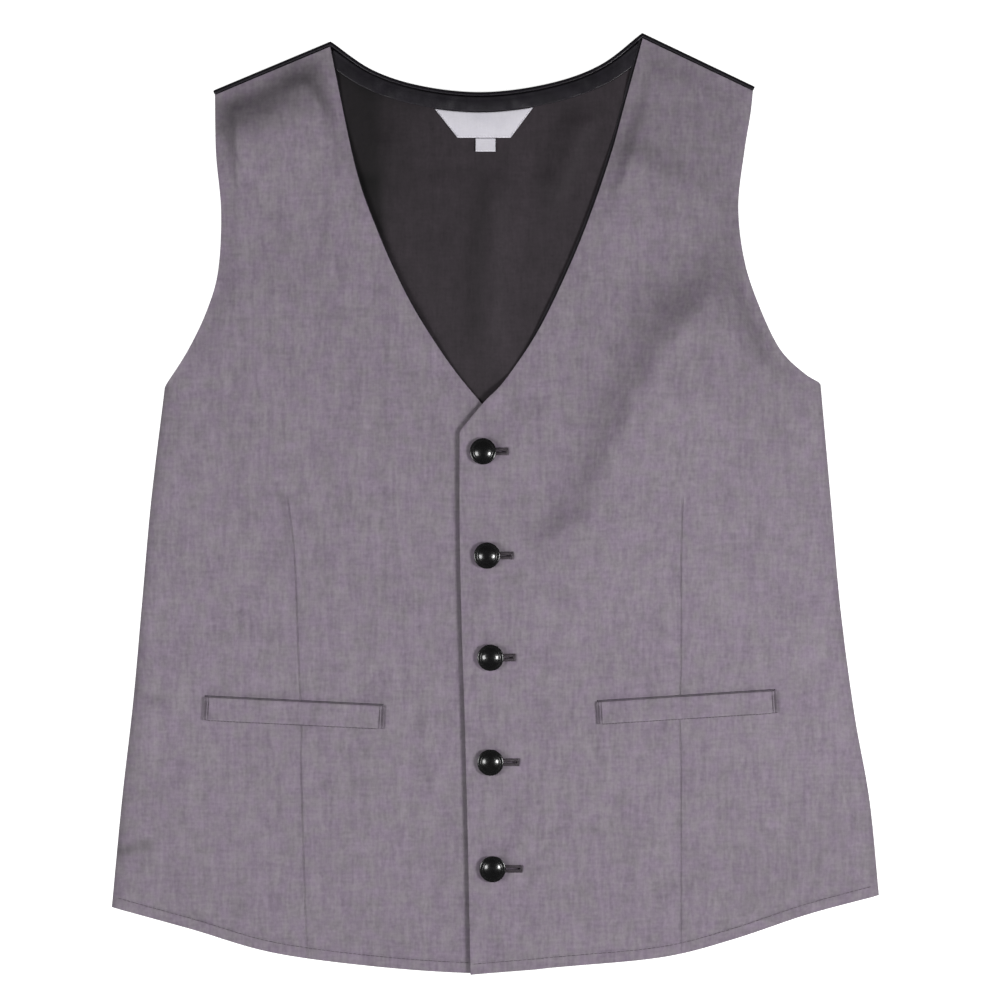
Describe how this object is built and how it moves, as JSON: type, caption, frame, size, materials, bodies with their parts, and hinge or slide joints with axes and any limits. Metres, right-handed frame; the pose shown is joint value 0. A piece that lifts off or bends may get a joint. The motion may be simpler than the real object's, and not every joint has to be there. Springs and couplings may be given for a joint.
{
  "type": "suit waistcoat",
  "caption": "Sleeveless suit waistcoat lying flat and buttoned, with a deep V neck, darted fronts, welt pockets, a curved front hem and a satin back.",
  "frame": {"origin": "bottom centre of the bounding box, on the surface that the garment lies on", "axes": "+Z out of the front face, away from the surface; +Y from the hem to the neck; +X towards the wearer's left"},
  "size_m": [0.5156, 0.6316, 0.0189],
  "materials": {
    "suiting": "matt mauve-grey plain weave with a fine vertical slub",
    "satin": "black lining satin, soft sheen",
    "lining": "charcoal lining twill, low sheen",
    "label_cloth": "white woven label, unprinted",
    "button": "polished black"
  },
  "bodies": {
    "root": {"back": "satin", "back_lining": "lining", "neck_facing": "satin", "right_front": "suiting", "left_front": "suiting", "right_welt": "suiting", "left_welt": "suiting", "label": "label_cloth", "size_tab": "label_cloth", "button_1": "button", "button_2": "button", "button_3": "button", "button_4": "button", "button_5": "button"}
  },
  "joints": []
}
